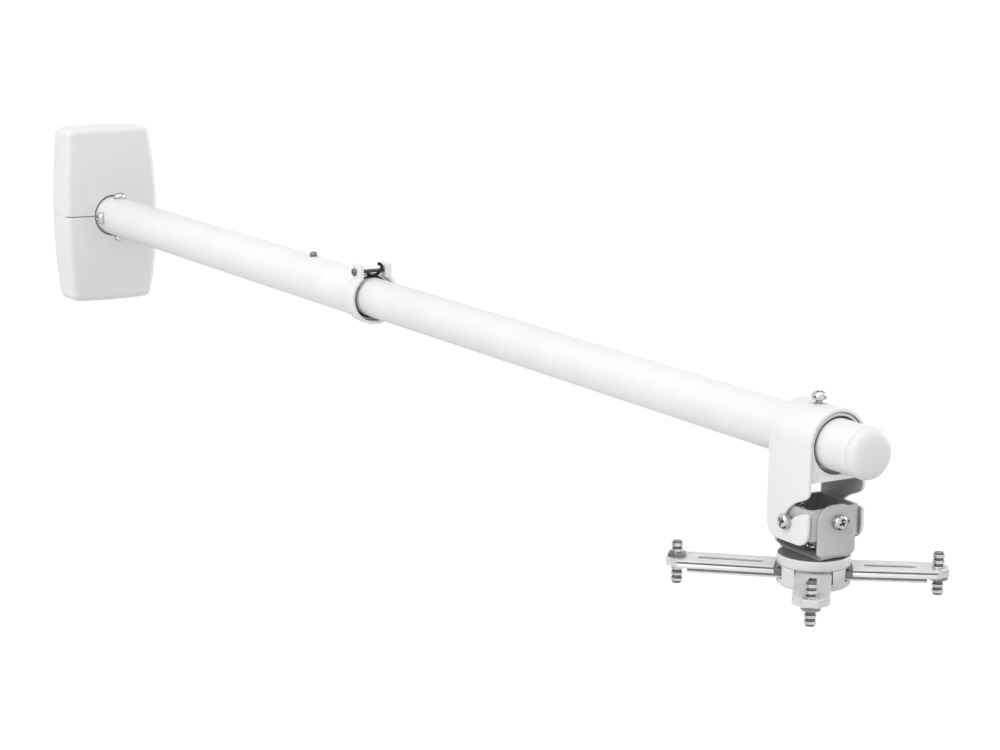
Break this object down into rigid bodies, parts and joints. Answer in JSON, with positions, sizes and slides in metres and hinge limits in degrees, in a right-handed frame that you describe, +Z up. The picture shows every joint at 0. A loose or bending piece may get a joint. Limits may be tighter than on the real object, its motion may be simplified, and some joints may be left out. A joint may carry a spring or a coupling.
{
  "type": "projector wall mount",
  "caption": "Short-throw projector wall mount: covered wall plate, telescopic round tube, sliding saddle with tilt and roll joints, and a swivelling hub with telescopic clamp arms.",
  "frame": {"origin": "on the wall plane, at the middle of the plate's back face and on the tube's axis", "axes": "+Y points into the wall, -Y along the tube away from the wall, +Z up, +X to the right for someone who looks at the wall"},
  "size_m": [0.1763, 1.5752, 0.2317],
  "materials": {
    "painted_steel": "satin powder coat",
    "cover_plastic": "fine matt",
    "plated_steel": "bright zinc",
    "black_steel": "black oxide",
    "nylon": "moulded nylon",
    "coated_wire": "black coat"
  },
  "bodies": {
    "wall_side": {"wall_plate": "painted_steel", "cover_upper": "cover_plastic", "cover_lower": "cover_plastic", "outer_tube": "painted_steel", "socket_screw_top": "plated_steel", "socket_screw_bottom": "plated_steel", "socket_screw_left": "plated_steel", "socket_screw_right": "plated_steel", "lock_screw": "black_steel", "clamp_collar": "painted_steel", "collar_bolt": "plated_steel", "collar_nut": "plated_steel", "cable_hook": "coated_wire", "guide_bush": "nylon"},
    "inner_tube": {"inner_tube": "painted_steel", "rear_bush": "nylon", "end_cap": "cover_plastic"},
    "saddle": {"saddle_strap": "painted_steel", "saddle_front_plate": "painted_steel", "saddle_rear_plate": "painted_steel", "saddle_screw": "plated_steel"},
    "tilt_block": {"tilt_block": "painted_steel", "tilt_screw_left": "plated_steel", "tilt_screw_right": "plated_steel", "tilt_washer_left": "plated_steel", "tilt_washer_right": "plated_steel", "tilt_nut_left": "plated_steel", "tilt_nut_right": "plated_steel", "roll_nut_front": "plated_steel", "roll_nut_rear": "plated_steel"},
    "roll_bracket": {"roll_bracket": "painted_steel", "roll_screw_front": "plated_steel", "roll_screw_rear": "plated_steel", "roll_washer_front": "plated_steel", "roll_washer_rear": "plated_steel"},
    "hub": {"hub_cap_disc": "painted_steel", "hub_body": "painted_steel", "hub_bolt": "plated_steel", "hub_nut": "plated_steel", "arm_pivot_screw_right": "plated_steel", "arm_pivot_screw_rear": "plated_steel", "arm_pivot_screw_left": "plated_steel", "arm_pivot_screw_front": "plated_steel"},
    "arm_rail_right": {"arm_rail_right": "painted_steel"},
    "arm_channel_right": {"arm_channel_right": "painted_steel", "post_right": "plated_steel", "post_nut_right": "plated_steel"},
    "arm_rail_rear": {"arm_rail_rear": "painted_steel"},
    "arm_channel_rear": {"arm_channel_rear": "painted_steel", "post_rear": "plated_steel", "post_nut_rear": "plated_steel"},
    "arm_rail_left": {"arm_rail_left": "painted_steel"},
    "arm_channel_left": {"arm_channel_left": "painted_steel", "post_left": "plated_steel", "post_nut_left": "plated_steel"},
    "arm_rail_front": {"arm_rail_front": "painted_steel"},
    "arm_channel_front": {"arm_channel_front": "painted_steel", "post_front": "plated_steel", "post_nut_front": "plated_steel"}
  },
  "joints": [
    {"name": "telescope", "type": "slide", "parent": "wall_side", "child": "inner_tube", "axis": [0, -1, 0], "range_m": [-0.5, 0]},
    {"name": "saddle_slide", "type": "slide", "parent": "inner_tube", "child": "saddle", "axis": [0, -1, 0], "range_m": [-0.15, 0.025]},
    {"name": "tilt", "type": "hinge", "parent": "saddle", "child": "tilt_block", "pos_m": [0, -1.493, -0.062], "axis": [1, 0, 0], "range_deg": [-15, 15]},
    {"name": "roll", "type": "hinge", "parent": "tilt_block", "child": "roll_bracket", "pos_m": [0, -1.493, -0.06], "axis": [0, 1, 0], "range_deg": [-10, 10]},
    {"name": "swivel", "type": "hinge", "parent": "roll_bracket", "child": "hub", "pos_m": [0, -1.493, -0.0903], "axis": [0, 0, 1], "continuous": true},
    {"name": "arm_pivot_right", "type": "hinge", "parent": "hub", "child": "arm_rail_right", "pos_m": [0.01694, -1.50624, -0.105], "axis": [0, 0, 1], "range_deg": [-14.3, 9.7]},
    {"name": "arm_slide_right", "type": "slide", "parent": "arm_rail_right", "child": "arm_channel_right", "axis": [0.8121, -0.5835, 0], "range_m": [0, 0.035]},
    {"name": "arm_pivot_rear", "type": "hinge", "parent": "hub", "child": "arm_rail_rear", "pos_m": [0.01324, -1.47606, -0.105], "axis": [0, 0, 1], "range_deg": [-10, 14]},
    {"name": "arm_slide_rear", "type": "slide", "parent": "arm_rail_rear", "child": "arm_channel_rear", "axis": [0.6428, 0.766, 0], "range_m": [0, 0.035]},
    {"name": "arm_pivot_left", "type": "hinge", "parent": "hub", "child": "arm_rail_left", "pos_m": [-0.01694, -1.47976, -0.105], "axis": [0, 0, 1], "range_deg": [-8.3, 15.7]},
    {"name": "arm_slide_left", "type": "slide", "parent": "arm_rail_left", "child": "arm_channel_left", "axis": [-0.7466, 0.6652, 0], "range_m": [0, 0.035]},
    {"name": "arm_pivot_front", "type": "hinge", "parent": "hub", "child": "arm_rail_front", "pos_m": [-0.01324, -1.50994, -0.105], "axis": [0, 0, 1], "range_deg": [-10.4, 13.6]},
    {"name": "arm_slide_front", "type": "slide", "parent": "arm_rail_front", "child": "arm_channel_front", "axis": [-0.6374, -0.7705, 0], "range_m": [0, 0.035]}
  ]
}
